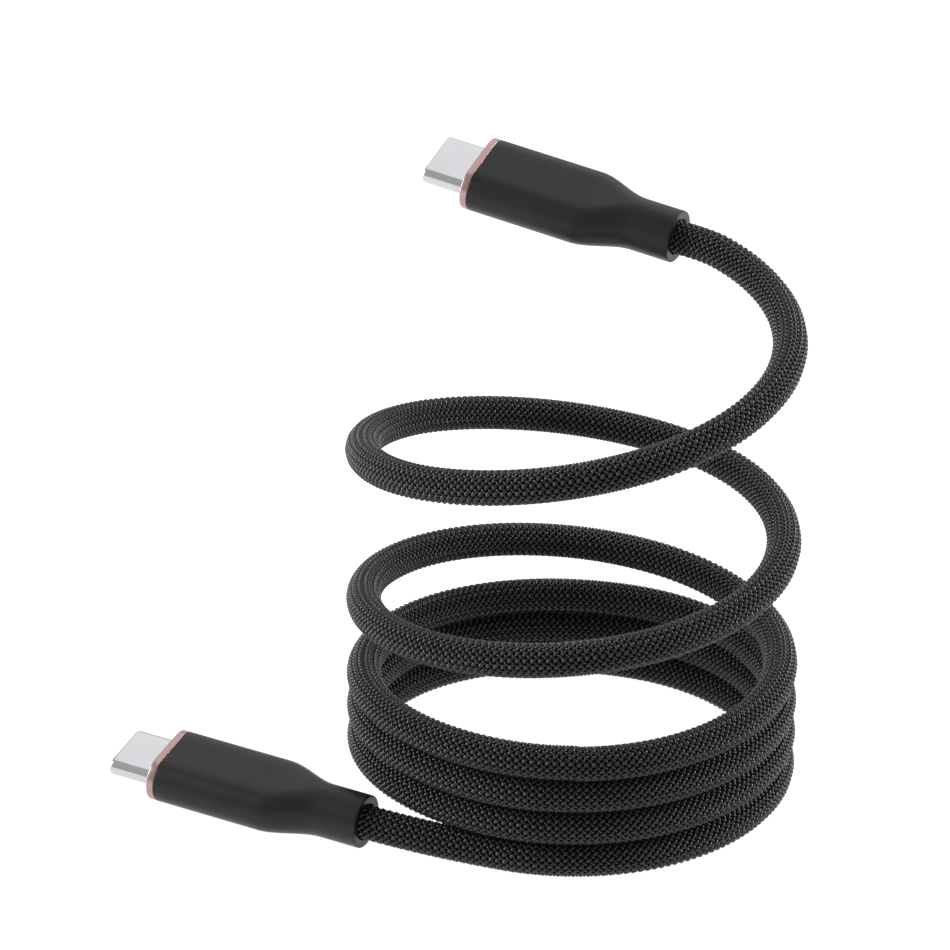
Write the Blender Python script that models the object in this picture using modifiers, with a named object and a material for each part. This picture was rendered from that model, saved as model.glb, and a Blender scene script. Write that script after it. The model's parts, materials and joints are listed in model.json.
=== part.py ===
"""A self-coiling braided charging cable, with a 24-pin reversible plug on each end.

The cord's first three turns lie on each other as a stack, and the rest stand open like a spring, up to
the upper plug. Metres, +Z up. The lowest point is at Z = 0.
"""

from math import cos, degrees, floor, hypot, radians, sin, tan

import bmesh
import bpy
from mathutils import Euler, Vector

MM = 0.001
FULL_TURN = 360

# The origin is under the middle of the two plugs. These two place the coil's axis from it.
COIL_AXIS_X = 22.42 * MM
COIL_AXIS_Y = -9.94 * MM

# The cord.
CORD_DIAMETER = 4.5 * MM
COIL_RADIUS = 27.0 * MM  # to the cord's centreline
TURN_PITCH = 4.65 * MM  # between stacked turns
STACKED_TURNS = 3
COIL_START = 251  # degrees round the coil, from +X towards +Y, counted up through every turn
CLIMB_START = 70  # each stacked turn lies level, then climbs onto the one below between these angles
CLIMB_END = 245
LAST_LEVEL_ANGLE = 1350  # the stack's top turn is level here, and the cord rises freely after it
QUARTER = 90
FREE_HEIGHTS = [h * MM for h in (16.05, 16.9, 19.8, 25.6, 31.1, 34.6, 38.1, 46.9, 55.8, 62.6, 67.9)]
COIL_END = 2205
CORD_IN_NECK = 6.5 * MM  # how far the braided cord runs into each plug
GAP = 0.3 * MM  # between the cord's own solids

# Where each plug's neck ends and the cord comes out, from the coil's axis, and how the plug is turned.
PLUGS = {
    "lower": {"mouth": (-26.35, -19.95, 3.5), "heading": -26.9, "pitch": -1.7, "roll": 9.5},
    "upper": {"mouth": (13.57, 23.3, 66.1), "heading": -27.0, "pitch": -6.35, "roll": 19.9},
}

# A plug. X runs from the tip to the cord, from the trim ring's front face. Z is across the flat sides.
SHELL_WIDTH = 8.25 * MM
SHELL_HEIGHT = 2.4 * MM
SHELL_WALL = 0.2 * MM
SHELL_FRONT = -6.35 * MM
SHELL_BACK = 6.0 * MM
TRIM_LENGTH = 1.0 * MM
HOUSING_WIDTH = 11.5 * MM
HOUSING_HEIGHT = 6.05 * MM
HOUSING_END = 29.2 * MM
SHOULDER_START = 15.7 * MM
SHOULDER_END = 23.5 * MM
NECK_DIAMETER = 7.0 * MM
HOUSING_WALL = 0.7 * MM
BORE_DIAMETER = 4.8 * MM  # through the neck
INSULATOR_FRONT = -5.9 * MM
INSULATOR_BACK = 1.9 * MM
CAN_START = 4.6 * MM
CAN_END = 13.6 * MM
CAN_WIDTH = 8.8 * MM
CAN_HEIGHT = 3.5 * MM
CAN_WALL = 0.15 * MM
CAN_CHAMFER = 1.3 * MM
BOARD_START = 2.0 * MM
BOARD_END = 11.6 * MM
BOARD_THICKNESS = 0.6 * MM
CHIP_X = 8.0 * MM
CHIP_SIDE = 2.0 * MM
CHIP_HEIGHT = 0.6 * MM
CHIP_CLEARANCE = 0.03 * MM
CONTACTS = 12
CONTACT_PITCH = 0.5 * MM
CONTACT_WIDTH = 0.25 * MM
CONTACT_THICKNESS = 0.12 * MM
CONTACT_HEIGHT = 0.46 * MM  # from the plug's middle plane to a contact's middle
JACKET_DIAMETER = 3.4 * MM
JACKET_START = 16.0 * MM
FERRULE_DIAMETER = 4.3 * MM
FERRULE_BORE = 3.5 * MM
FERRULE_START = 18.4 * MM
FERRULE_END = 22.0 * MM
WIRE_DIAMETER = 0.7 * MM
WIRE_START = 9.8 * MM

# The inner wires: name, place across the board, place round the jacket in degrees, and colour.
WIRES = [
    ("wire_vbus", -2.6, 234, (0.55, 0.02, 0.02)),
    ("wire_ground", -1.3, 162, (0.02, 0.02, 0.02)),
    ("wire_cc", 0.0, 90, (0.05, 0.12, 0.55)),
    ("wire_data_plus", 1.3, 18, (0.03, 0.35, 0.08)),
    ("wire_data_minus", 2.6, 306, (0.7, 0.7, 0.68)),
]


def clear_scene():
    for item in list(bpy.data.objects):
        bpy.data.objects.remove(item, do_unlink=True)


def make_collection(name):
    group = bpy.data.collections.new(name)
    bpy.context.scene.collection.children.link(group)
    return group


def make_material(name, colour, roughness, metallic=0.0):
    material = bpy.data.materials.new(name)
    material.use_nodes = True
    shader = material.node_tree.nodes["Principled BSDF"]
    shader.inputs["Base Color"].default_value = (*colour, 1.0)
    shader.inputs["Roughness"].default_value = roughness
    shader.inputs["Metallic"].default_value = metallic
    return material


def smooth_step(t):
    t = min(max(t, 0.0), 1.0)
    return t * t * (3 - 2 * t)


def blend(a, b, share):
    return a + (b - a) * share


# ---- The cord's route, from the coil's axis --------------------------------------------------------


def stacked_height(angle):
    """Height of the centreline while the turns lie on each other: level, then up one pitch each turn."""
    turns = (angle - CLIMB_START) / FULL_TURN - 1
    climb = (turns - floor(turns)) * FULL_TURN / (CLIMB_END - CLIMB_START)
    level = max(floor(turns) + smooth_step(climb), 0.0)
    return CORD_DIAMETER / 2 + TURN_PITCH * level


def free_height(angle):
    """Height of the centreline above the stack, on a smooth curve through FREE_HEIGHTS."""
    place = (angle - LAST_LEVEL_ANGLE) / QUARTER
    i = min(int(place), len(FREE_HEIGHTS) - 2)
    t = place - i
    known = FREE_HEIGHTS
    before = known[i - 1] if i else known[1]
    after = known[min(i + 2, len(known) - 1)]
    rise_in = (known[i + 1] - before) / 2
    rise_out = (after - known[i]) / 2
    climb = smooth_step(t)
    ease_in = t * (1 - t) ** 2
    ease_out = -t * t * (1 - t)
    return known[i] * (1 - climb) + known[i + 1] * climb + rise_in * ease_in + rise_out * ease_out


def coil_point(angle):
    height = stacked_height(angle) if angle < LAST_LEVEL_ANGLE else free_height(angle)
    turn = radians(angle)
    return Vector((COIL_RADIUS * cos(turn), COIL_RADIUS * sin(turn), height))


def coil_direction(angle):
    step = 0.5
    return (coil_point(angle + step) - coil_point(angle - step)).normalized()


def plug_rotation(plug):
    return Euler((radians(plug["roll"]), radians(-plug["pitch"]), radians(plug["heading"]))).to_matrix()


def plug_mouth(plug):
    return Vector(plug["mouth"]) * MM


def bend(start, start_direction, end, end_direction, t):
    """Point at share t of a smooth bend that leaves start and reaches end in the given directions."""
    reach = (end - start).length
    climb = smooth_step(t)
    ease_in = t * (1 - t) ** 2 * reach
    ease_out = -t * t * (1 - t) * reach
    return start * (1 - climb) + end * climb + start_direction * ease_in + end_direction * ease_out


def lower_lead(t):
    """From deep in the lower plug's neck (t = 0) to where the coil starts (t = 1)."""
    plug = PLUGS["lower"]
    along = plug_rotation(plug) @ Vector((1, 0, 0))
    mouth = plug_mouth(plug)
    start, out = coil_point(COIL_START), coil_direction(COIL_START)
    inside = CORD_IN_NECK / (CORD_IN_NECK + (start - mouth).length)
    if t < inside:
        return mouth - along * CORD_IN_NECK * (1 - t / inside)
    return bend(mouth, along, start, out, (t - inside) / (1 - inside))


def upper_lead(t):
    """From where the coil ends (t = 0) to deep in the upper plug's neck (t = 1)."""
    plug = PLUGS["upper"]
    along = plug_rotation(plug) @ Vector((-1, 0, 0))
    mouth = plug_mouth(plug)
    start, out = coil_point(COIL_END), coil_direction(COIL_END)
    outside = (mouth - start).length / (CORD_IN_NECK + (mouth - start).length)
    if t > outside:
        return mouth + along * CORD_IN_NECK * (t - outside) / (1 - outside)
    return bend(start, out, mouth, along, t / outside)


# ---- Makers -----------------------------------------------------------------------------------------


def link(name, data, group, material, parent, location=(0, 0, 0), rotation=(0, 0, 0)):
    item = bpy.data.objects.new(name, data)
    group.objects.link(item)
    item.parent = parent
    item.location = location
    item.rotation_euler = rotation
    data.materials.append(material)
    return item


def shade_round(mesh, sharp_angle=40):
    mesh.shade_smooth()
    mesh.set_sharp_from_angle(angle=radians(sharp_angle))


def mesh_from(name, build):
    """A mesh that build(bm) fills, with its faces turned outwards."""
    bm = bmesh.new()
    build(bm)
    bmesh.ops.recalc_face_normals(bm, faces=bm.faces)
    mesh = bpy.data.meshes.new(name)
    bm.to_mesh(mesh)
    bm.free()
    shade_round(mesh)
    return mesh


def tube(name, points, diameter, group, material, parent, sides=2):
    curve = bpy.data.curves.new(name, "CURVE")
    curve.dimensions = "3D"
    curve.bevel_depth = diameter / 2
    curve.bevel_resolution = sides
    curve.use_fill_caps = True
    spline = curve.splines.new("POLY")
    spline.points.add(len(points) - 1)
    for knot, point in zip(spline.points, points):
        knot.co = (*point, 1.0)
    spline.use_smooth = True
    return link(name, curve, group, material, parent)


def rounded_outline(width, height, radius, steps=4):
    """Corner-rounded rectangle about the origin, anticlockwise."""
    radius = min(radius, width / 2, height / 2)
    corners = [(1, 1, 0), (-1, 1, 90), (-1, -1, 180), (1, -1, 270)]
    outline = []
    for across, up, first in corners:
        for i in range(steps + 1):
            turn = radians(first + 90 * i / steps)
            x = across * (width / 2 - radius) + radius * cos(turn)
            y = up * (height / 2 - radius) + radius * sin(turn)
            if not outline or hypot(x - outline[-1][0], y - outline[-1][1]) > 1e-7:
                outline.append((x, y))
    if hypot(outline[0][0] - outline[-1][0], outline[0][1] - outline[-1][1]) < 1e-7:
        outline.pop()
    return outline


def flat_piece(name, outlines, thickness, group, material, parent, location=(0, 0, 0), rotation=(0, 0, 0)):
    """Closed outlines in one plane, the later ones holes in the first, given a thickness."""
    curve = bpy.data.curves.new(name, "CURVE")
    curve.dimensions = "2D"
    curve.fill_mode = "BOTH"
    curve.extrude = thickness / 2
    for outline in outlines:
        spline = curve.splines.new("POLY")
        spline.points.add(len(outline) - 1)
        for knot, (x, y) in zip(spline.points, outline):
            knot.co = (x, y, 0.0, 1.0)
        spline.use_cyclic_u = True
    return link(name, curve, group, material, parent, location, rotation)


ACROSS_PLUG = (radians(90), 0, radians(90))  # turns an outline's x and y to the plug's Y and Z


def section_piece(name, outlines, start, end, group, material, parent):
    """Outlines in the plug's cross-section, run from start to end along the plug."""
    middle = ((start + end) / 2, 0, 0)
    return flat_piece(name, outlines, end - start, group, material, parent, middle, ACROSS_PLUG)


def block(name, size, location, group, material, parent):
    def build(bm):
        bmesh.ops.create_cube(bm, size=1.0)
        bmesh.ops.scale(bm, vec=size, verts=bm.verts)

    return link(name, mesh_from(name, build), group, material, parent, location)


def loft(bm, rings, closed_tube=False):
    """Skins rings of equal length. closed_tube joins the last ring to the first, as round a sleeve."""
    rows = [[bm.verts.new(point) for point in ring] for ring in rings]
    count = len(rows[0])
    pairs = list(zip(rows, rows[1:]))
    if closed_tube:
        pairs.append((rows[-1], rows[0]))
    for near, far in pairs:
        for i in range(count):
            j = (i + 1) % count
            bm.faces.new((near[i], near[j], far[j], far[i]))
    if not closed_tube:
        bm.faces.new(rows[0][::-1])
        bm.faces.new(rows[-1])


# ---- The cord's solids ------------------------------------------------------------------------------


def stack_outline():
    """The stack's cross-section: one lobe for each turn, outwards and up from the lowest turn's middle."""
    radius = CORD_DIAMETER / 2 - 0.15 * MM  # clear of the lead below the last turn
    lobe_angles = (-58, -22, 22, 58)
    flat = 0.5 * MM  # half the width of the level underside
    side = []
    for turn in range(STACKED_TURNS):
        for angle in lobe_angles:
            out = radius * cos(radians(angle))
            up = TURN_PITCH * turn + radius * sin(radians(angle))
            side.append((out, up))
    low = -CORD_DIAMETER / 2
    high = TURN_PITCH * (STACKED_TURNS - 1) + radius
    right = [(flat, low)] + side + [(flat, high)]
    left = [(-out, up) for out, up in reversed(right)]
    return right + left


def make_cord_stack(group, material, parent):
    outline = stack_outline()
    stations = 54
    first = COIL_START
    last = COIL_START + FULL_TURN - degrees(GAP / COIL_RADIUS)

    def ring(angle):
        turn = radians(angle)
        height = stacked_height(angle)
        return [
            Vector(((COIL_RADIUS + out) * cos(turn), (COIL_RADIUS + out) * sin(turn), height + up))
            for out, up in outline
        ]

    def build(bm):
        loft(bm, [ring(blend(first, last, i / stations)) for i in range(stations + 1)])

    link("cord_stack", mesh_from("cord_stack", build), group, material, parent)


def make_cord_lead(group, material, parent):
    pieces = 11
    end = 1 - 1.3 * GAP / (plug_mouth(PLUGS["lower"]) - coil_point(COIL_START)).length
    points = [lower_lead(end * i / pieces) for i in range(pieces + 1)]
    tube("cord_lead", points, CORD_DIAMETER, group, material, parent)


def make_cord_free_turns(group, material, parent):
    first = COIL_START + STACKED_TURNS * FULL_TURN + degrees(GAP / COIL_RADIUS)
    coil_pieces = 40
    lead_pieces = 5
    points = [coil_point(blend(first, COIL_END, i / coil_pieces)) for i in range(coil_pieces)]
    points += [upper_lead(i / lead_pieces) for i in range(lead_pieces + 1)]
    tube("cord_free_turns", points, CORD_DIAMETER, group, material, parent)


# ---- One plug ---------------------------------------------------------------------------------------


def make_shell(name, group, material, parent):
    outer = rounded_outline(SHELL_WIDTH, SHELL_HEIGHT, SHELL_HEIGHT / 2)
    wall = 2 * SHELL_WALL
    inner = rounded_outline(SHELL_WIDTH - wall, SHELL_HEIGHT - wall, SHELL_HEIGHT)
    section_piece(name, [outer, inner], SHELL_FRONT, SHELL_BACK, group, material, parent)


def make_insulator(name, group, material, parent):
    """The black liner in the shell, open for the socket's tongue."""
    width, height = 7.7 * MM, 1.72 * MM
    slot_width, slot_height = 6.9 * MM, 1.16 * MM
    corner, slot_corner = 0.8 * MM, 0.1 * MM
    outer = rounded_outline(width, height, corner, 3)
    slot = rounded_outline(slot_width, slot_height, slot_corner, 1)
    section_piece(name, [outer, slot], INSULATOR_FRONT, INSULATOR_BACK, group, material, parent)


def make_contacts(name, side, group, material, parent):
    """A row of spring contacts, joined by the bar that stands for their moulded-in tails."""
    bow = 0.1 * MM  # each spring dips towards the middle plane near its tip
    stations = [(-5.4, 0.0), (-4.7, 1.0), (-3.6, 0.0), (0.9, 0.0), (3.4, 0.0)]
    joined_from = 3
    first = -(CONTACTS - 1) / 2 * CONTACT_PITCH
    edges = []
    for i in range(CONTACTS):
        middle = first + i * CONTACT_PITCH
        edges += [middle - CONTACT_WIDTH / 2, middle + CONTACT_WIDTH / 2]

    def build(bm):
        grid = [
            [bm.verts.new((x * MM, y, side * (CONTACT_HEIGHT - bow * dip))) for y in edges]
            for x, dip in stations
        ]
        for i in range(len(stations) - 1):
            step = 1 if i >= joined_from else 2
            for j in range(0, len(edges) - 1, step):
                bm.faces.new((grid[i][j], grid[i + 1][j], grid[i + 1][j + 1], grid[i][j + 1]))

    item = link(name, mesh_from(name, build), group, material, parent)
    solidify = item.modifiers.new("Solidify", "SOLIDIFY")
    solidify.thickness = CONTACT_THICKNESS
    solidify.offset = 0.0


def make_latch_spring(name, group, material, parent):
    """A flat U: two arms that grip the sides of the socket's tongue, and the bar that joins them."""
    thickness = 0.2 * MM
    outer, arm, hook = 3.35 * MM, 0.3 * MM, 0.2 * MM
    tip, barb, bar_front, bar_back = -5.5 * MM, -4.8 * MM, 1.0 * MM, 1.7 * MM
    hook_length = 0.6 * MM
    half = [
        (bar_back, outer),
        (tip, outer),
        (tip, outer - arm),
        (barb, outer - arm - hook),
        (barb + hook_length, outer - arm),
        (bar_front, outer - arm),
    ]
    outline = half + [(x, -y) for x, y in reversed(half)]
    flat_piece(name, [outline], thickness, group, material, parent)


def make_ground_spring(name, side, group, material, parent):
    """A thin plate between the insulator and the shell, with its middle cut out to leave spring strips."""
    front, back, half_width = -5.0 * MM, -0.8 * MM, 2.8 * MM
    thickness = 0.08 * MM
    frame = 0.6 * MM
    outline = [(front, -half_width), (back, -half_width), (back, half_width), (front, half_width)]
    window = [
        (front + frame, frame / 2),
        (back - frame, frame / 2),
        (back - frame, half_width - frame),
        (front + frame, half_width - frame),
    ]
    mirrored = [(x, -y) for x, y in reversed(window)]
    place = (0, 0, side * 0.93 * MM)
    flat_piece(name, [outline, window, mirrored], thickness, group, material, parent, place)


def make_paddle_board(name, group, material, parent):
    step, narrow, wide = 6.4 * MM, 3.3 * MM, 4.1 * MM
    half = [(BOARD_START, narrow), (step, narrow), (step, wide), (BOARD_END, wide)]
    outline = half + [(x, -y) for x, y in reversed(half)]
    flat_piece(name, [outline], BOARD_THICKNESS, group, material, parent)


def make_can(name, side, group, material, parent):
    """Half of the pressed can round the board: an open channel."""
    split = 0.05 * MM
    half, high = CAN_WIDTH / 2, CAN_HEIGHT / 2
    turn_in = CAN_WALL * tan(radians(22.5))  # how far a corner moves along its sides, inside the wall
    outer = [(half, split), (half, high - CAN_CHAMFER), (half - CAN_CHAMFER, high)]
    inner = [
        (half - CAN_WALL, split),
        (half - CAN_WALL, high - CAN_CHAMFER - turn_in),
        (half - CAN_CHAMFER - turn_in, high - CAN_WALL),
    ]
    outline = outer + [(-x, y) for x, y in reversed(outer)] + [(-x, y) for x, y in inner] + inner[::-1]
    outline = [(x, side * y) for x, y in outline]
    section_piece(name, [outline], CAN_START, CAN_END, group, material, parent)


def make_inner_mould(name, group, material, parent):
    """The sleeve moulded round the can, under the housing."""
    width, height = 9.5 * MM, 4.5 * MM
    front, back = 1.4 * MM, CAN_END + 0.6 * MM
    outer = rounded_outline(width, height, height / 2, 5)
    space = 0.1 * MM
    half, high = CAN_WIDTH / 2 + space, CAN_HEIGHT / 2 + space
    corner = [(half, high - CAN_CHAMFER), (half - CAN_CHAMFER, high)]
    top = corner + [(-x, y) for x, y in reversed(corner)]
    inner = top + [(-x, -y) for x, y in top]
    section_piece(name, [outer, inner], front, back, group, material, parent)


def make_trim_ring(name, group, material, parent):
    """The bright frame at the housing's front, which the shell comes out through."""
    clearance = 0.1 * MM
    outer = rounded_outline(HOUSING_WIDTH, HOUSING_HEIGHT, HOUSING_HEIGHT / 2, 7)
    hole = rounded_outline(SHELL_WIDTH + 2 * clearance, SHELL_HEIGHT + 2 * clearance, SHELL_HEIGHT)
    section_piece(name, [outer, hole], 0.0, TRIM_LENGTH, group, material, parent)


def housing_section(x):
    """Cross-section of the housing at x: flat-sided, then round past the shoulder."""
    share = smooth_step((x - SHOULDER_START) / (SHOULDER_END - SHOULDER_START))
    wide = blend(HOUSING_WIDTH, NECK_DIAMETER, share)
    high = blend(HOUSING_HEIGHT, NECK_DIAMETER, share)
    return ring_of_even_steps(wide, high, high / 2)


def ring_of_even_steps(width, height, radius, steps=6):
    """A rounded outline with the same number of points whatever its size, so that rings can be skinned."""
    radius = min(radius, width / 2, height / 2)
    points = []
    for across, up, first in [(1, 1, 0), (-1, 1, 90), (-1, -1, 180), (1, -1, 270)]:
        for i in range(steps):
            turn = radians(first + 90 * (i + 0.5) / steps)
            y = across * (width / 2 - radius) + radius * cos(turn)
            z = up * (height / 2 - radius) + radius * sin(turn)
            points.append((y, z))
    return points


def make_housing(name, group, material, parent):
    """The long soft-touch grip: a sleeve with a flat body, a smooth shoulder and a round neck."""
    front = TRIM_LENGTH + 0.02 * MM
    rim = 0.35 * MM  # the rounding at the neck's end
    cavity_width = HOUSING_WIDTH - 2 * HOUSING_WALL
    cavity_height = HOUSING_HEIGHT - 2 * HOUSING_WALL
    cavity_end = CAN_END + 1.0 * MM  # the cavity narrows from here
    bore_start = CAN_END + 5.0 * MM  # to the bore, here
    shoulder_rings = 9
    outer_places = [front]
    for i in range(shoulder_rings + 1):
        outer_places.append(blend(SHOULDER_START, SHOULDER_END, i / shoulder_rings))
    outer_places.append(HOUSING_END - rim)

    def at(x, outline):
        return [(x, y, z) for y, z in outline]

    def cavity(x):
        share = smooth_step((x - cavity_end) / (bore_start - cavity_end))
        wide = blend(cavity_width, BORE_DIAMETER, share)
        high = blend(cavity_height, BORE_DIAMETER, share)
        return at(x, ring_of_even_steps(wide, high, high / 2))

    def build(bm):
        rings = [at(x, housing_section(x)) for x in outer_places]
        end_ring = NECK_DIAMETER - 2 * rim
        for turn in (45, 90):
            x = HOUSING_END - rim + rim * sin(radians(turn))
            wide = end_ring + 2 * rim * cos(radians(turn))
            rings.append(at(x, ring_of_even_steps(wide, wide, wide / 2)))
        rings.append(cavity(HOUSING_END))
        rings += [cavity(bore_start), cavity((cavity_end + bore_start) / 2), cavity(cavity_end)]
        rings.append(cavity(front))
        loft(bm, rings, closed_tube=True)

    link(name, mesh_from(name, build), group, material, parent)


def make_ferrule(name, group, material, parent):
    """The metal sleeve crimped round the jacket: a turned profile."""
    profile = bpy.data.meshes.new(name)
    outer, inner = FERRULE_DIAMETER / 2, FERRULE_BORE / 2
    corners = [
        (outer, 0, FERRULE_END),
        (outer, 0, FERRULE_START),
        (inner, 0, FERRULE_START),
        (inner, 0, FERRULE_END),
    ]
    profile.from_pydata(corners, [(0, 1), (1, 2), (2, 3), (3, 0)], [])
    item = link(name, profile, group, material, parent, rotation=(0, radians(90), 0))
    screw = item.modifiers.new("Screw", "SCREW")
    screw.steps = screw.render_steps = 20
    screw.use_merge_vertices = True
    screw.merge_threshold = 0.00001


def make_wire(name, across, round_jacket, group, material, parent):
    """From a pad on the board to the cord's end."""
    solder = 0.05 * MM
    jacket_wall = 0.3 * MM
    pad_height = BOARD_THICKNESS / 2 + solder + WIRE_DIAMETER / 2
    circle = JACKET_DIAMETER / 2 - WIRE_DIAMETER / 2 - jacket_wall
    end_y = circle * cos(radians(round_jacket))
    end_z = circle * sin(radians(round_jacket))
    end_x = JACKET_START - 0.1 * MM
    level = BOARD_END + 0.6 * MM  # the wires stay flat until they are past the board
    points = [(WIRE_START, across * MM, pad_height), (level, across * MM, pad_height)]
    steps = 4
    for i in range(1, steps + 1):
        t = i / steps
        share = smooth_step(t)
        y = blend(across * MM, end_y, share)
        z = blend(pad_height, end_z, share)
        points.append((blend(level, end_x, t), y, z))
    tube(name, points, WIRE_DIAMETER, group, material, parent, sides=1)


def make_plug(end, group, cable):
    plug = PLUGS[end]
    rotation = plug_rotation(plug)
    frame = bpy.data.objects.new(f"{end}_plug_frame", None)
    group.objects.link(frame)
    frame.parent = cable
    frame.rotation_euler = rotation.to_euler()
    frame.location = plug_mouth(plug) - rotation @ Vector((HOUSING_END, 0, 0))

    def finish(piece, colour, roughness, metallic=0.0):
        return make_material(f"{end}_{piece}", colour, roughness, metallic)

    steel = (0.62, 0.62, 0.64)
    gold = (0.78, 0.55, 0.18)

    def piece(kind):
        return f"{end}_{kind}"

    make_shell(piece("shell"), group, finish("shell", steel, 0.28, 1.0), frame)
    make_insulator(piece("insulator"), group, finish("insulator", (0.02, 0.02, 0.02), 0.5), frame)
    for side, word in ((1, "upper"), (-1, "lower")):
        contacts = f"contacts_{word}"
        make_contacts(piece(contacts), side, group, finish(contacts, gold, 0.3, 1.0), frame)
        spring = f"ground_spring_{word}"
        make_ground_spring(piece(spring), side, group, finish(spring, steel, 0.35, 1.0), frame)
        can = f"can_{word}"
        make_can(piece(can), side, group, finish(can, steel, 0.4, 1.0), frame)
    make_latch_spring(piece("latch_spring"), group, finish("latch_spring", steel, 0.35, 1.0), frame)
    make_paddle_board(piece("paddle_board"), group, finish("paddle_board", (0.01, 0.12, 0.05), 0.4), frame)
    chip_place = (CHIP_X, 0, BOARD_THICKNESS / 2 + CHIP_CLEARANCE + CHIP_HEIGHT / 2)
    chip_finish = finish("controller_chip", (0.015, 0.015, 0.015), 0.45)
    chip_size = (CHIP_SIDE, CHIP_SIDE, CHIP_HEIGHT)
    block(piece("controller_chip"), chip_size, chip_place, group, chip_finish, frame)
    make_inner_mould(piece("inner_mould"), group, finish("inner_mould", (0.6, 0.6, 0.58), 0.6), frame)
    make_trim_ring(piece("trim_ring"), group, finish("trim_ring", (0.52, 0.31, 0.3), 0.32, 1.0), frame)
    make_housing(piece("housing"), group, finish("housing", (0.018, 0.018, 0.019), 0.55), frame)
    jacket_finish = finish("jacket_end", (0.03, 0.03, 0.03), 0.6)
    jacket_end = HOUSING_END - CORD_IN_NECK - 0.1 * MM
    jacket = [(JACKET_START, 0, 0), (jacket_end, 0, 0)]
    tube(piece("jacket_end"), jacket, JACKET_DIAMETER, group, jacket_finish, frame)
    ferrule_finish = finish("crimp_ferrule", steel, 0.4, 1.0)
    make_ferrule(piece("crimp_ferrule"), group, ferrule_finish, frame)
    for kind, across, round_jacket, colour in WIRES:
        make_wire(piece(kind), across, round_jacket, group, finish(kind, colour, 0.45), frame)


def main():
    clear_scene()
    group = make_collection("charging_cable")
    cable = bpy.data.objects.new("cable_frame", None)
    group.objects.link(cable)
    cable.location = (COIL_AXIS_X, COIL_AXIS_Y, 0)
    braid = (0.03, 0.03, 0.032)
    make_cord_lead(group, make_material("cord_lead", braid, 0.7), cable)
    make_cord_stack(group, make_material("cord_stack", braid, 0.7), cable)
    make_cord_free_turns(group, make_material("cord_free_turns", braid, 0.7), cable)
    for end in PLUGS:
        make_plug(end, group, cable)


main()
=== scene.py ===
"""A black self-coiling braided charging cable, with a reversible plug on each end, on a plain white floor.

The braid is real yarn: each one is a closed strand that goes over and under the ones that cross it, all
along the cord. The plugs are lofted in their own frames, where X runs from the tip to the cord.
Metres, +Z up.
"""

import json
from math import cos, floor, pi, radians, sin

import bmesh
import bpy
import numpy as np
from mathutils import Euler, Matrix, Vector


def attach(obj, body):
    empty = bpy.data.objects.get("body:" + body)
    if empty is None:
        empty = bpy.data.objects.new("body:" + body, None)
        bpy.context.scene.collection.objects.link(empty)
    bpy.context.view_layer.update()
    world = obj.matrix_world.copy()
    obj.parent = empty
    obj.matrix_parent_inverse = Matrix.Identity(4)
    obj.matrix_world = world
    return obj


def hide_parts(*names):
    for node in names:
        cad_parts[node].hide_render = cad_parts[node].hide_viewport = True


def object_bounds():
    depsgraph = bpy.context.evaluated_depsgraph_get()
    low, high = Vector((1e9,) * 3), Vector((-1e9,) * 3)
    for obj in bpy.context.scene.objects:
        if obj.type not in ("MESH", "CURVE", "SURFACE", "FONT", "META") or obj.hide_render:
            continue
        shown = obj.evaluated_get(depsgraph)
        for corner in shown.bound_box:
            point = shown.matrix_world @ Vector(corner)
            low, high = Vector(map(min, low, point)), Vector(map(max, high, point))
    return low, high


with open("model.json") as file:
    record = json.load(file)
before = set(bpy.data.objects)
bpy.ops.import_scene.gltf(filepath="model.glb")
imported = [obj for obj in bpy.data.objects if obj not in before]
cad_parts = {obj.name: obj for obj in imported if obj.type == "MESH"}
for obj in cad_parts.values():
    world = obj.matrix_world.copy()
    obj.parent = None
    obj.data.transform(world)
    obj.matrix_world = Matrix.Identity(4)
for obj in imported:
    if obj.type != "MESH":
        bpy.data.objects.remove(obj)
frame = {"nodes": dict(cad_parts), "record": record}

CAD_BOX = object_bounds()
MM = 0.001
FULL_TURN = 360

# ---- The cord's route: the same values and formulas as the CAD --------------------------------------

COIL_AXIS = Vector((22.42, -9.94, 0)) * MM
CORD_DIAMETER = 4.5 * MM
COIL_RADIUS = 27.0 * MM
TURN_PITCH = 4.65 * MM
COIL_START = 251
CLIMB_START = 70
CLIMB_END = 245
LAST_LEVEL_ANGLE = 1350
QUARTER = 90
FREE_HEIGHTS = [h * MM for h in (16.05, 16.9, 19.8, 25.6, 31.1, 34.6, 38.1, 46.9, 55.8, 62.6, 67.9)]
COIL_END = 2205
CORD_IN_NECK = 6.5 * MM
PLUGS = {
    "lower": {"mouth": (-26.35, -19.95, 3.5), "heading": -26.9, "pitch": -1.7, "roll": 9.5},
    "upper": {"mouth": (13.57, 23.3, 66.1), "heading": -27.0, "pitch": -6.35, "roll": 19.9},
}

# ---- The plugs --------------------------------------------------------------------------------------

SHELL_WIDTH = 8.25 * MM
SHELL_HEIGHT = 2.4 * MM
SHELL_WALL = 0.2 * MM
SHELL_FRONT = -6.35 * MM
SHELL_BACK = 6.0 * MM
TRIM_LENGTH = 1.0 * MM
HOUSING_WIDTH = 11.5 * MM
HOUSING_HEIGHT = 6.05 * MM
HOUSING_END = 29.2 * MM
HOUSING_WALL = 0.7 * MM
SHOULDER_START = 15.7 * MM
SHOULDER_END = 23.5 * MM
NECK_DIAMETER = 7.0 * MM
BORE_DIAMETER = 4.8 * MM

# ---- The braid --------------------------------------------------------------------------------------

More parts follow.
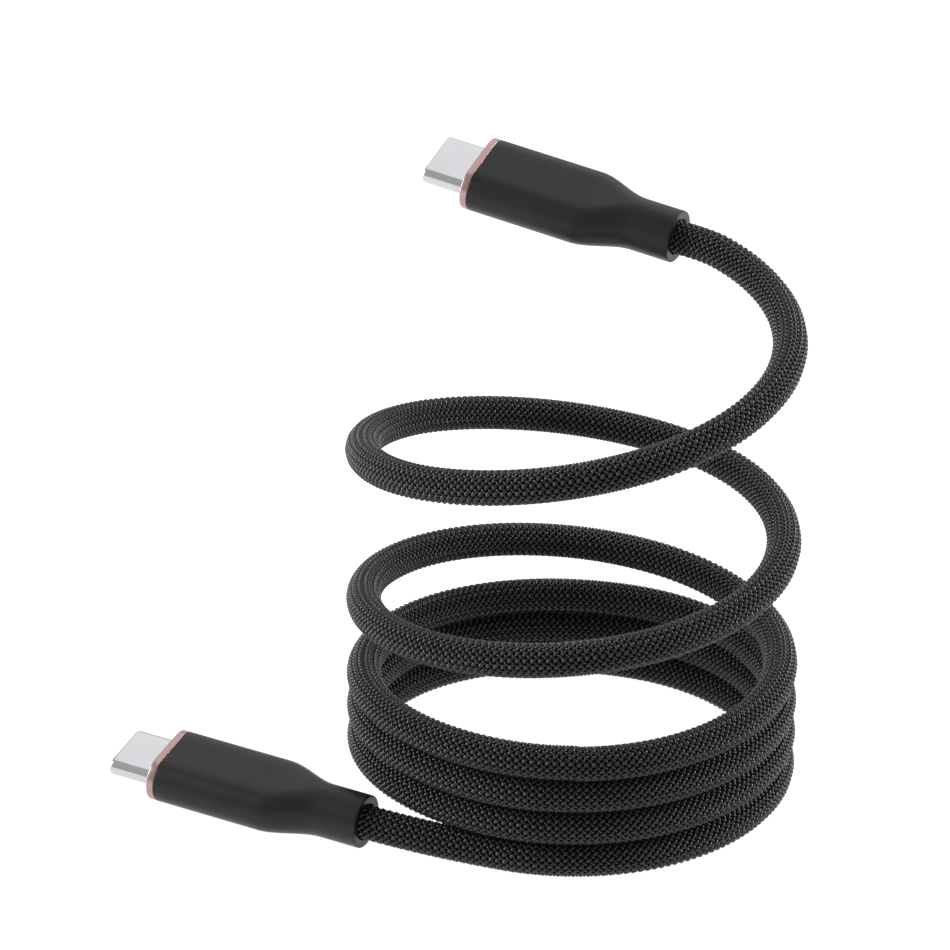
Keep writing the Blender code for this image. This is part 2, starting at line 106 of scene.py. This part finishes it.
YARNS = 14  # running each way round
YARN_REPEAT = 0.917 * MM  # along the cord, from one crossing on top to the next
YARN_WIDTHS = {1: 0.50 * MM, -1: 0.36 * MM}  # of those that wind one way and the other
YARN_SINK = {1: 0.0, -1: 0.04 * MM}  # the tighter yarns lie this much deeper
YARN_HEIGHT = 0.42 * MM
YARN_WAVE = 0.14 * MM  # how far a yarn rises and dips as it crosses the others
BRAID_RADIUS = 2.27 * MM  # to the tops of the yarns
CORE_RADIUS = 1.66 * MM
YARN_EDGE_SHARE = 0.5  # how far its edges lie below its middle, of half its height
YARN_SHOULDER_SHARE = 0.72  # how far out its shoulders lie, of half its width
YARN_GRAIN_SHIFT = 7.3  # so that no two yarns have the same filaments
STEPS_A_REPEAT = 8
BRAID_PIECES = 13

# ---- The camera -------------------------------------------------------------------------------------

CAMERA_TARGET = COIL_AXIS + Vector((-12.674, 0, 43.099)) * MM
CAMERA_DISTANCE = 705.09 * MM
CAMERA_ELEVATION = 26.42
CAMERA_ROLL = 0.246
CAMERA_LENS = 209.24
CAMERA_SENSOR = 36
CAMERA_NEAR = 0.01
CAMERA_FAR = 20

# ---- The light --------------------------------------------------------------------------------------

LIGHT_TARGET = Vector((0, 0, 0.03))
ROOM_STRENGTH = 0.55

# ---- Shared by all ----------------------------------------------------------------------------------


def smooth_step(t):
    t = min(max(t, 0.0), 1.0)
    return t * t * (3 - 2 * t)


def blend(a, b, share):
    return a + (b - a) * share


# ---- The camera in use ------------------------------------------------------------------------------


def make_camera():
    data = bpy.data.cameras.new("camera")
    data.lens = CAMERA_LENS
    data.sensor_width = CAMERA_SENSOR
    data.clip_start = CAMERA_NEAR
    data.clip_end = CAMERA_FAR
    camera = bpy.data.objects.new("camera", data)
    bpy.context.scene.collection.objects.link(camera)
    tilt = Euler((radians(90 - CAMERA_ELEVATION), 0, 0)).to_matrix()
    turn = tilt @ Matrix.Rotation(radians(CAMERA_ROLL), 3, "Z")
    back = turn @ Vector((0, 0, 1))
    camera.matrix_world = Matrix.LocRotScale(CAMERA_TARGET + back * CAMERA_DISTANCE, turn, None)
    bpy.context.scene.camera = camera


# ---- The route in use -------------------------------------------------------------------------------


def stacked_height(angle):
    """Height of the centreline while the turns lie on each other: level, then up one pitch each turn."""
    turns = (angle - CLIMB_START) / FULL_TURN - 1
    climb = (turns - floor(turns)) * FULL_TURN / (CLIMB_END - CLIMB_START)
    level = max(floor(turns) + smooth_step(climb), 0.0)
    return CORD_DIAMETER / 2 + TURN_PITCH * level


def free_height(angle):
    """Height of the centreline above the stack, on a smooth curve through FREE_HEIGHTS."""
    place = (angle - LAST_LEVEL_ANGLE) / QUARTER
    i = min(int(place), len(FREE_HEIGHTS) - 2)
    t = place - i
    known = FREE_HEIGHTS
    before = known[i - 1] if i else known[1]
    after = known[min(i + 2, len(known) - 1)]
    rise_in = (known[i + 1] - before) / 2
    rise_out = (after - known[i]) / 2
    climb = smooth_step(t)
    ease_in = t * (1 - t) ** 2
    ease_out = -t * t * (1 - t)
    return known[i] * (1 - climb) + known[i + 1] * climb + rise_in * ease_in + rise_out * ease_out


def coil_point(angle):
    height = stacked_height(angle) if angle < LAST_LEVEL_ANGLE else free_height(angle)
    turn = radians(angle)
    return Vector((COIL_RADIUS * cos(turn), COIL_RADIUS * sin(turn), height))


def coil_direction(angle):
    step = 0.5
    return (coil_point(angle + step) - coil_point(angle - step)).normalized()


def plug_rotation(plug):
    return Euler((radians(plug["roll"]), radians(-plug["pitch"]), radians(plug["heading"]))).to_matrix()


def plug_mouth(plug):
    return Vector(plug["mouth"]) * MM


def plug_frame(plug):
    """The plug's own frame: its origin is at the trim ring's front, and X runs to the cord."""
    rotation = plug_rotation(plug)
    origin = COIL_AXIS + plug_mouth(plug) - rotation @ Vector((HOUSING_END, 0, 0))
    return Matrix.LocRotScale(origin, rotation, None)


def bend(start, start_direction, end, end_direction, t):
    """Point at share t of a smooth bend that leaves start and reaches end in the given directions."""
    reach = (end - start).length
    climb = smooth_step(t)
    ease_in = t * (1 - t) ** 2 * reach
    ease_out = -t * t * (1 - t) * reach
    return start * (1 - climb) + end * climb + start_direction * ease_in + end_direction * ease_out


def lower_lead(t):
    """From deep in the lower plug's neck (t = 0) to where the coil starts (t = 1)."""
    plug = PLUGS["lower"]
    along = plug_rotation(plug) @ Vector((1, 0, 0))
    mouth = plug_mouth(plug)
    start, out = coil_point(COIL_START), coil_direction(COIL_START)
    inside = CORD_IN_NECK / (CORD_IN_NECK + (start - mouth).length)
    if t < inside:
        return mouth - along * CORD_IN_NECK * (1 - t / inside)
    return bend(mouth, along, start, out, (t - inside) / (1 - inside))


def upper_lead(t):
    """From where the coil ends (t = 0) to deep in the upper plug's neck (t = 1)."""
    plug = PLUGS["upper"]
    along = plug_rotation(plug) @ Vector((-1, 0, 0))
    mouth = plug_mouth(plug)
    start, out = coil_point(COIL_END), coil_direction(COIL_END)
    outside = (mouth - start).length / (CORD_IN_NECK + (mouth - start).length)
    if t > outside:
        return mouth + along * CORD_IN_NECK * (t - outside) / (1 - outside)
    return bend(start, out, mouth, along, t / outside)


def cord_route():
    """The centreline, plug to plug, as points close enough together to be read as a curve."""
    lead_steps, degrees_a_step = 60, 1.5
    turns = int((COIL_END - COIL_START) / degrees_a_step)
    points = [lower_lead(i / lead_steps) for i in range(lead_steps)]
    points += [coil_point(blend(COIL_START, COIL_END, i / turns)) for i in range(turns)]
    points += [upper_lead(i / lead_steps) for i in range(lead_steps + 1)]
    return np.array([COIL_AXIS + p for p in points])


class Centreline:
    """The route by distance along it, with a level direction and an upward one across it."""

    def __init__(self, points):
        gaps = np.linalg.norm(np.diff(points, axis=0), axis=1)
        self.along = np.concatenate([[0.0], np.cumsum(gaps)])
        self.length = self.along[-1]
        self.points = points
        tangent = np.gradient(points, self.along, axis=0)
        tangent /= np.linalg.norm(tangent, axis=1)[:, None]
        side = np.cross(tangent, [0.0, 0.0, 1.0])
        self.side = side / np.linalg.norm(side, axis=1)[:, None]
        self.up = np.cross(self.side, tangent)

    def read(self, table, distance):
        return np.stack([np.interp(distance, self.along, table[:, i]) for i in range(3)], axis=-1)

    def surface(self, distance, turn, radius):
        """Points at an angle round the cord and a radius from its centreline."""
        centre = self.read(self.points, distance)
        side = self.read(self.side, distance)
        up = self.read(self.up, distance)
        spoke = side * np.cos(turn)[..., None] + up * np.sin(turn)[..., None]
        return centre + spoke * radius[..., None]


def add_object(name, data, materials, place=None):
    item = bpy.data.objects.new(name, data)
    bpy.context.scene.collection.objects.link(item)
    for material in materials:
        data.materials.append(material)
    if place is not None:
        item.matrix_world = place
    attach(item, "root")
    return item


# ---- Materials --------------------------------------------------------------------------------------


class Shader:
    """A Principled material, with short calls for the nodes that feed it."""

    def __init__(self, name, **values):
        self.material = bpy.data.materials.new(name)
        self.material.use_nodes = True
        self.nodes = self.material.node_tree.nodes
        self.links = self.material.node_tree.links
        self.principled = self.nodes["Principled BSDF"]
        for socket, value in values.items():
            self.principled.inputs[socket.replace("_", " ")].default_value = value

    def node(self, kind, inputs=(), **settings):
        made = self.nodes.new(kind)
        for setting, value in settings.items():
            setattr(made, setting, value)
        for socket, value in dict(inputs).items():
            if isinstance(value, bpy.types.NodeSocket):
                self.links.new(value, made.inputs[socket])
            else:
                made.inputs[socket].default_value = value
        return made

    def position(self, scale=(1, 1, 1)):
        where = self.node("ShaderNodeTexCoord").outputs["Object"]
        return self.node("ShaderNodeMapping", {"Vector": where, "Scale": scale}).outputs["Vector"]

    def noise(self, vector, scale, detail=3.0):
        inputs = {"Vector": vector, "Scale": scale, "Detail": detail}
        return self.node("ShaderNodeTexNoise", inputs).outputs["Fac"]

    def ramp(self, value, stops):
        made = self.node("ShaderNodeValToRGB", {"Fac": value})
        elements = made.color_ramp.elements
        while len(elements) < len(stops):
            elements.new(0.5)
        for element, (place, colour) in zip(elements, stops):
            element.position = place
            element.color = (*colour, 1)
        return made.outputs["Color"]

    def bump(self, height, strength, distance):
        inputs = {"Height": height, "Strength": strength, "Distance": distance}
        return self.node("ShaderNodeBump", inputs).outputs["Normal"]

    def spread(self, value, low, high):
        inputs = {"Value": value, "To Min": low, "To Max": high}
        return self.node("ShaderNodeMapRange", inputs).outputs[0]

    def feed(self, socket, output):
        self.links.new(output, self.principled.inputs[socket])


def grey(value):
    """A neutral grey, with a trace of blue."""
    return (value, value, value * 1.02)


def yarn_material(name, dark, light, roughness):
    """Polyester yarn: fine filaments along it, with a soft shine."""
    shader = Shader(name, Specular_IOR_Level=0.5)
    along = shader.node("ShaderNodeUVMap", uv_map="yarn").outputs["UV"]
    stretch = {"Vector": along, "Scale": (1.2, 16.0, 1.0)}
    filaments = shader.node("ShaderNodeMapping", stretch).outputs["Vector"]
    fibre = shader.noise(filaments, scale=1.0, detail=2.0)
    tint = shader.noise(shader.position(), scale=420.0, detail=2.0)
    both = shader.node("ShaderNodeMath", {0: fibre, 1: tint}, operation="ADD").outputs[0]
    half = shader.node("ShaderNodeMath", {0: both, 1: 0.5}, operation="MULTIPLY").outputs[0]
    shader.feed("Base Color", shader.ramp(half, [(0.32, grey(dark)), (0.68, grey(light))]))
    shader.feed("Roughness", shader.spread(fibre, roughness - 0.05, roughness + 0.05))
    shader.feed("Normal", shader.bump(fibre, strength=0.2, distance=0.02 * MM))
    return shader.material


def soft_touch_material():
    """Soft-touch coated plastic: very fine grain, faint sheen, a trace of handling."""
    shader = Shader("soft_touch_black", Specular_IOR_Level=0.3)
    where = shader.position()
    grain = shader.noise(where, scale=9000.0, detail=2.0)
    patches = shader.noise(where, scale=160.0)
    shader.feed("Base Color", shader.ramp(patches, [(0.3, grey(0.006)), (0.7, grey(0.008))]))
    shader.feed("Roughness", shader.spread(patches, 0.34, 0.42))
    shader.feed("Normal", shader.bump(grain, strength=0.25, distance=0.01 * MM))
    return shader.material


def metal_material(name, dark, light, roughness, grain=(1, 1, 1), strength=0.12):
    """Satin metal, with grain that may be stretched one way. Its roughness is a low and a high value."""
    shader = Shader(name, Metallic=1.0)
    fine = shader.noise(shader.position(grain), scale=6000.0)
    cloud = shader.noise(shader.position(), scale=260.0)
    shader.feed("Base Color", shader.ramp(cloud, [(0.3, dark), (0.7, light)]))
    shader.feed("Roughness", shader.spread(fine, *roughness))
    shader.feed("Normal", shader.bump(fine, strength, distance=0.01 * MM))
    return shader.material


def plastic_material(name, dark, light, roughness):
    """Moulded or extruded plastic: a little cloudy, with a fine grain."""
    shader = Shader(name, Specular_IOR_Level=0.45)
    where = shader.position()
    cloud = shader.noise(where, scale=500.0)
    fine = shader.noise(where, scale=5000.0, detail=2.0)
    shader.feed("Base Color", shader.ramp(cloud, [(0.3, dark), (0.7, light)]))
    shader.feed("Roughness", shader.spread(fine, roughness - 0.06, roughness + 0.06))
    shader.feed("Normal", shader.bump(fine, strength=0.15, distance=0.01 * MM))
    return shader.material


# ---- The cord ---------------------------------------------------------------------------------------


def strand_section(width):
    """A yarn's cross-section, across and up from its middle: rounded on top, flat beneath."""
    half, high = width / 2, YARN_HEIGHT / 2
    shoulder = YARN_SHOULDER_SHARE * half
    edge = YARN_EDGE_SHARE * high
    across = np.array([-half, -shoulder, 0.0, shoulder, half])
    up = np.array([-edge, edge, high, edge, -edge])
    return across, up


def braid_piece(name, line, first, last, materials):
    """The yarns of one stretch of the cord, from one distance along it to another."""
    lean = 2 * pi / YARNS / YARN_REPEAT  # radians round the cord for each metre along it
    middle = BRAID_RADIUS - YARN_HEIGHT / 2 - YARN_WAVE
    steps = int(round((last - first) / YARN_REPEAT * STEPS_A_REPEAT))
    distance = np.linspace(first, last, steps + 1)
    weave = np.sin(pi / 2 * np.cos(2 * pi * distance / YARN_REPEAT))  # flat-topped, 1 to -1
    slope = middle * lean
    along_share = 1 / (1 + slope * slope) ** 0.5
    round_share = slope * along_share
    points, uvs, faces, kinds = [], [], [], []
    made = 0
    for way, width in YARN_WIDTHS.items():
        across, up = strand_section(width)
        count = len(across)
        for yarn in range(YARNS):
            centre_turn = 2 * pi * yarn / YARNS + way * lean * distance
            centre_radius = middle - YARN_SINK[way] + way * YARN_WAVE * weave
            at = distance[:, None] - way * round_share * across[None, :]
            turn = centre_turn[:, None] + along_share * across[None, :] / middle
            radius = centre_radius[:, None] + up[None, :]
            points.append(line.surface(at, turn, radius).reshape(-1, 3))
            yarn_length = distance / along_share / MM + YARN_GRAIN_SHIFT * yarn
            uv = np.broadcast_arrays(yarn_length[:, None], across[None, :] / MM)
            uvs.append(np.stack(uv, axis=-1).reshape(-1, 2))
            grid = made + np.arange((steps + 1) * count).reshape(steps + 1, count)
            near, far = grid[:-1], grid[1:]
            ring = np.roll(np.arange(count), -1)
            quads = np.stack([near, far, far[:, ring], near[:, ring]], axis=-1).reshape(-1, 4)
            faces.append(quads)
            kinds.append(np.full(len(quads), yarn % 2))
            made += (steps + 1) * count
    return mesh_from_grids(name, points, uvs, faces, kinds, count, steps, materials)


def mesh_from_grids(name, points, uvs, faces, kinds, count, steps, materials):
    """One mesh of all the strands, each closed by a face at both ends."""
    points = np.concatenate(points)
    uvs = np.concatenate(uvs)
    quads = np.concatenate(faces)
    kinds = np.concatenate(kinds)
    strands = len(points) // ((steps + 1) * count)
    starts = np.arange(strands) * (steps + 1) * count
    near_caps = starts[:, None] + np.arange(count)[None, :]
    far_caps = starts[:, None] + steps * count + np.arange(count)[None, ::-1]
    caps = np.concatenate([near_caps, far_caps])
    loops = np.concatenate([quads.reshape(-1), caps.reshape(-1)])
    sizes = np.concatenate([np.full(len(quads), 4), np.full(len(caps), count)])
    mesh = bpy.data.meshes.new(name)
    mesh.vertices.add(len(points))
    mesh.vertices.foreach_set("co", points.astype(np.float32).ravel())
    mesh.loops.add(len(loops))
    mesh.loops.foreach_set("vertex_index", loops.astype(np.int32))
    mesh.polygons.add(len(sizes))
    mesh.polygons.foreach_set("loop_start", (np.cumsum(sizes) - sizes).astype(np.int32))
    kinds = np.concatenate([kinds, np.zeros(len(caps))])
    mesh.polygons.foreach_set("material_index", kinds.astype(np.int32))
    mesh.update(calc_edges=True)
    mesh.validate()
    layer = mesh.uv_layers.new(name="yarn")
    layer.data.foreach_set("uv", uvs[loops].astype(np.float32).ravel())
    mesh.shade_smooth()
    return add_object(name, mesh, materials)


def make_jacket(line):
    """The cord's plain inner tube, which shows as the dark between the yarns."""
    core = bpy.data.curves.new("cord_jacket", "CURVE")
    core.dimensions = "3D"
    core.bevel_depth = CORE_RADIUS
    core.bevel_resolution = 4
    core.use_fill_caps = True
    spline = core.splines.new("POLY")
    spline.points.add(len(line.points) - 1)
    for knot, point in zip(spline.points, line.points):
        knot.co = (*point, 1.0)
    spline.use_smooth = True
    finish = plastic_material("cord_jacket", grey(0.004), grey(0.006), 0.75)
    jacket = add_object("cord_jacket", core, [finish])
    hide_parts("cord_lead", "cord_stack", "cord_free_turns")
    return jacket


def make_braid(line):
    """All the yarns, in pieces that each hold a whole number of repeats, but for the last."""
    yarns = [
        yarn_material("yarn_light", dark=0.008, light=0.015, roughness=0.3),
        yarn_material("yarn_dark", dark=0.003, light=0.006, roughness=0.42),
    ]
    repeats = int(line.length / YARN_REPEAT)
    joints = [round(repeats * i / BRAID_PIECES) * YARN_REPEAT for i in range(BRAID_PIECES)]
    joints.append(line.length)
    pieces = []
    for i, (first, last) in enumerate(zip(joints, joints[1:])):
        pieces.append(braid_piece(f"braid_{i + 1:02d}", line, first, last, yarns))
    return pieces


# ---- Lofted plug pieces -----------------------------------------------------------------------------


def rounded_ring(x, width, height, corner_steps=14, flat_steps=6):
    """A flat-sided ring with round ends, across the plug at x: always the same number of points."""
    radius = height / 2
    reach = max(width / 2 - radius, 0.0)
    ring = []
    for side, first in ((1, -90), (-1, 90)):
        for i in range(corner_steps + 1):
            turn = radians(first + 180 * i / corner_steps)
            ring.append((x, side * reach + radius * cos(turn), radius * sin(turn)))
        for i in range(1, flat_steps):
            share = i / flat_steps
            ring.append((x, blend(side * reach, -side * reach, share), side * radius))
    return ring


def loft(name, rings, material, place, sharp_angle=50):
    """A closed sleeve through the rings, the last joined to the first."""
    bm = bmesh.new()
    rows = [[bm.verts.new(point) for point in ring] for ring in rings]
    count = len(rows[0])
    for near, far in zip(rows, rows[1:] + rows[:1]):
        for i in range(count):
            j = (i + 1) % count
            bm.faces.new((near[i], near[j], far[j], far[i]))
    bmesh.ops.recalc_face_normals(bm, faces=bm.faces)
    mesh = bpy.data.meshes.new(name)
    bm.to_mesh(mesh)
    bm.free()
    mesh.shade_smooth()
    mesh.set_sharp_from_angle(angle=radians(sharp_angle))
    return add_object(name, mesh, [material], place)


def edge_round(x, width, height, size, outward_x, steps=4):
    """Rings round a rim: from the flat outer side to the face at x."""
    rings = []
    for i in range(steps + 1):
        turn = radians(90 * i / steps)
        back = size * (1 - sin(turn))
        inset = size * (1 - cos(turn))
        rings.append(rounded_ring(x - outward_x * back, width - 2 * inset, height - 2 * inset))
    return rings


def housing_ring(x):
    """The grip's outline at x: the flat oval, blended into the round neck over the shoulder."""
    share = smooth_step((x - SHOULDER_START) / (SHOULDER_END - SHOULDER_START))
    wide = blend(HOUSING_WIDTH, NECK_DIAMETER, share)
    high = blend(HOUSING_HEIGHT, NECK_DIAMETER, share)
    return rounded_ring(x, wide, high)


def make_housing(end, place, material):
    """The soft-touch grip: a flat oval body, a shoulder and a round neck, hollow all through."""
    front = TRIM_LENGTH + 0.04 * MM
    front_edge, rim, lip = 0.1 * MM, 0.16 * MM, 0.12 * MM
    body_steps, shoulder_steps, rim_steps, lip_steps = 8, 36, 7, 3
    bore_end, cavity_start = 18.6 * MM, 14.6 * MM
    body_start = front + 2 * front_edge
    rings = edge_round(front, HOUSING_WIDTH, HOUSING_HEIGHT, front_edge, -1)[::-1]
    for i in range(body_steps):
        rings.append(housing_ring(blend(body_start, SHOULDER_START, i / body_steps)))
    for i in range(shoulder_steps + 1):
        rings.append(housing_ring(blend(SHOULDER_START, SHOULDER_END, i / shoulder_steps)))
    rings.append(housing_ring(HOUSING_END - 2 * rim))
    rings += edge_round(HOUSING_END, NECK_DIAMETER, NECK_DIAMETER, rim, 1, rim_steps)
    for i in range(lip_steps + 1):
        turn = radians(90 * i / lip_steps)
        bore = BORE_DIAMETER + 2 * lip * (1 - sin(turn))
        rings.append(rounded_ring(HOUSING_END - lip * (1 - cos(turn)), bore, bore))
    wide, high = HOUSING_WIDTH - 2 * HOUSING_WALL, HOUSING_HEIGHT - 2 * HOUSING_WALL
    rings.append(rounded_ring(bore_end, BORE_DIAMETER, BORE_DIAMETER))
    rings.append(rounded_ring(cavity_start, wide, high))
    rings.append(rounded_ring(front, wide, high))
    housing = loft(f"{end}_grip", rings, material, place)
    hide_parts(f"{end}_housing")
    return housing


def make_trim(end, place, material):
    """The flat metal ring round the shell, its front edge rounded and its hole chamfered."""
    front_edge, back_edge, clearance = 0.14 * MM, 0.06 * MM, 0.1 * MM
    hole_wide, hole_high = SHELL_WIDTH + 2 * clearance, SHELL_HEIGHT + 2 * clearance
    rings = edge_round(TRIM_LENGTH, HOUSING_WIDTH, HOUSING_HEIGHT, back_edge, 1)[::-1]
    rings += edge_round(0.0, HOUSING_WIDTH, HOUSING_HEIGHT, front_edge, -1)
    rings.append(rounded_ring(0.0, hole_wide + 2 * front_edge, hole_high + 2 * front_edge))
    rings.append(rounded_ring(front_edge / 2, hole_wide, hole_high))
    rings.append(rounded_ring(TRIM_LENGTH, hole_wide, hole_high))
    trim = loft(f"{end}_trim", rings, material, place)
    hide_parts(f"{end}_trim_ring")


def make_shell(end, place, material):
    """The drawn steel shell. Its rim is swaged in, with a rounded lip."""
    rim_length, rim_inset, rim_steps = 0.42 * MM, 0.15 * MM, 8
    lip_inset, lip_height = 0.06 * MM, 0.14 * MM
    inner_wide, inner_high = SHELL_WIDTH - 2 * SHELL_WALL, SHELL_HEIGHT - 2 * SHELL_WALL
    rings = []
    for share in (0.0, 0.4, 0.8):
        rings.append(rounded_ring(blend(SHELL_BACK, SHELL_FRONT, share), SHELL_WIDTH, SHELL_HEIGHT))
    for i in range(rim_steps + 1):
        turn = radians(90 * i / rim_steps)
        x = SHELL_FRONT + rim_length * (1 - sin(turn))
        inset = rim_inset * (1 - cos(turn))
        rings.append(rounded_ring(x, SHELL_WIDTH - 2 * inset, SHELL_HEIGHT - 2 * inset))
    for i in range(rim_steps + 1):
        turn = radians(90 * i / rim_steps)
        x = SHELL_FRONT + rim_length * (1 - cos(turn))
        inset = lip_inset + lip_height * (1 - sin(turn))
        rings.append(rounded_ring(x, inner_wide - 2 * inset, inner_high - 2 * inset))
    rings.append(rounded_ring(SHELL_FRONT + 2 * rim_length, inner_wide, inner_high))
    rings.append(rounded_ring(SHELL_BACK, inner_wide, inner_high))
    shell = loft(f"{end}_plug_shell", rings, material, place)
    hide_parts(f"{end}_shell")


def dress_cad_nodes(finishes):
    """Each CAD node that stays gets the material of its record slot."""
    for entry in frame["record"]["subparts"]:
        item = frame["nodes"][entry["node"]]
        finish = finishes.get(entry["material_slot"])
        if finish is None:
            continue
        for slot in item.material_slots:
            slot.link = "OBJECT"
            slot.material = finish


def inner_finishes():
    """What the pieces inside the plugs are made of, by record slot."""
    gold = metal_material("contact_gold", (0.72, 0.48, 0.14), (0.85, 0.62, 0.24), (0.18, 0.3))
    bright = metal_material("spring_steel", (0.55, 0.55, 0.56), (0.68, 0.68, 0.7), (0.22, 0.36))
    can = metal_material("can_steel", (0.5, 0.5, 0.52), (0.62, 0.62, 0.64), (0.3, 0.45))
    return {
        "insulator_black": plastic_material("insulator_black", grey(0.012), grey(0.02), 0.45),
        "contact_gold": gold,
        "spring_steel": bright,
        "can_steel": can,
        "board_green": plastic_material("board_green", (0.006, 0.09, 0.035), (0.012, 0.13, 0.055), 0.32),
        "chip_black": plastic_material("chip_black", grey(0.012), grey(0.018), 0.5),
        "mould_white": plastic_material("mould_white", grey(0.55), grey(0.63), 0.55),
        "jacket_black": plastic_material("jacket_black", grey(0.02), grey(0.03), 0.6),
        "wire_red": plastic_material("wire_red", (0.45, 0.015, 0.015), (0.58, 0.025, 0.02), 0.42),
        "wire_black": plastic_material("wire_black", grey(0.015), grey(0.022), 0.42),
        "wire_blue": plastic_material("wire_blue", (0.04, 0.1, 0.48), (0.06, 0.14, 0.6), 0.42),
        "wire_green": plastic_material("wire_green", (0.02, 0.3, 0.06), (0.035, 0.4, 0.1), 0.42),
        "wire_white": plastic_material("wire_white", grey(0.64), grey(0.74), 0.42),
    }


def make_plugs():
    soft = soft_touch_material()
    rose = metal_material("trim_rose", (0.40, 0.26, 0.255), (0.45, 0.305, 0.30), (0.24, 0.34), strength=0.1)
    steel = metal_material(
        "shell_steel", (0.55, 0.55, 0.57), (0.59, 0.59, 0.61), (0.14, 0.22), grain=(0.2, 1, 1), strength=0.1
    )
    dress_cad_nodes(inner_finishes())
    grips = []
    for end, plug in PLUGS.items():
        place = plug_frame(plug)
        grips.append(make_housing(end, place, soft))
        make_trim(end, place, rose)
        make_shell(end, place, steel)
    return grips


# ---- Floor and light --------------------------------------------------------------------------------


def make_floor():
    """A plain floor with its own even white glow, so that the cable leaves almost no shadow on it."""
    half, gap = 3.0, 0.02 * MM
    mesh = bpy.data.meshes.new("floor")
    corners = [(-half, -half, 0), (half, -half, 0), (half, half, 0), (-half, half, 0)]
    mesh.from_pydata(corners, [], [(0, 1, 2, 3)])
    floor_object = bpy.data.objects.new("floor", mesh)
    bpy.context.scene.collection.objects.link(floor_object)
    floor_object.location.z = min(CAD_BOX[0][2], 0.0) - gap
    base, glow = (0.18, 0.18, 0.18, 1), (1, 1, 1, 1)
    shader = Shader("floor", Base_Color=base, Roughness=0.9, Emission_Color=glow, Emission_Strength=0.98)
    mesh.materials.append(shader.material)


def area_light(name, place, size, power):
    data = bpy.data.lights.new(name, "AREA")
    data.shape = "RECTANGLE"
    data.size, data.size_y = size
    data.energy = power
    light = bpy.data.objects.new(name, data)
    bpy.context.scene.collection.objects.link(light)
    light.location = place
    light.rotation_euler = (LIGHT_TARGET - Vector(place)).to_track_quat("-Z", "Y").to_euler()


def make_light():
    """An even white room, with a large soft light high behind the cable and a narrow one at each side."""
    world = bpy.data.worlds.new("studio")
    world.use_nodes = True
    background = world.node_tree.nodes["Background"]
    background.inputs["Color"].default_value = (1, 1, 1, 1)
    background.inputs["Strength"].default_value = ROOM_STRENGTH
    bpy.context.scene.world = world
    area_light("top", place=(0.0, 0.6, 0.8), size=(0.8, 1.2), power=2.1)
    area_light("left", place=(-0.8, 0.1, 0.3), size=(0.25, 0.7), power=9.0)
    area_light("right", place=(0.8, 0.25, 0.3), size=(0.25, 0.7), power=8.0)


# ---- The scene --------------------------------------------------------------------------------------

make_camera()
centreline = Centreline(cord_route())
cord_piece = make_jacket(centreline)
braid_pieces = make_braid(centreline)
grip_pieces = make_plugs()
make_floor()
make_light()
bpy.context.scene.view_settings.view_transform = "Standard"
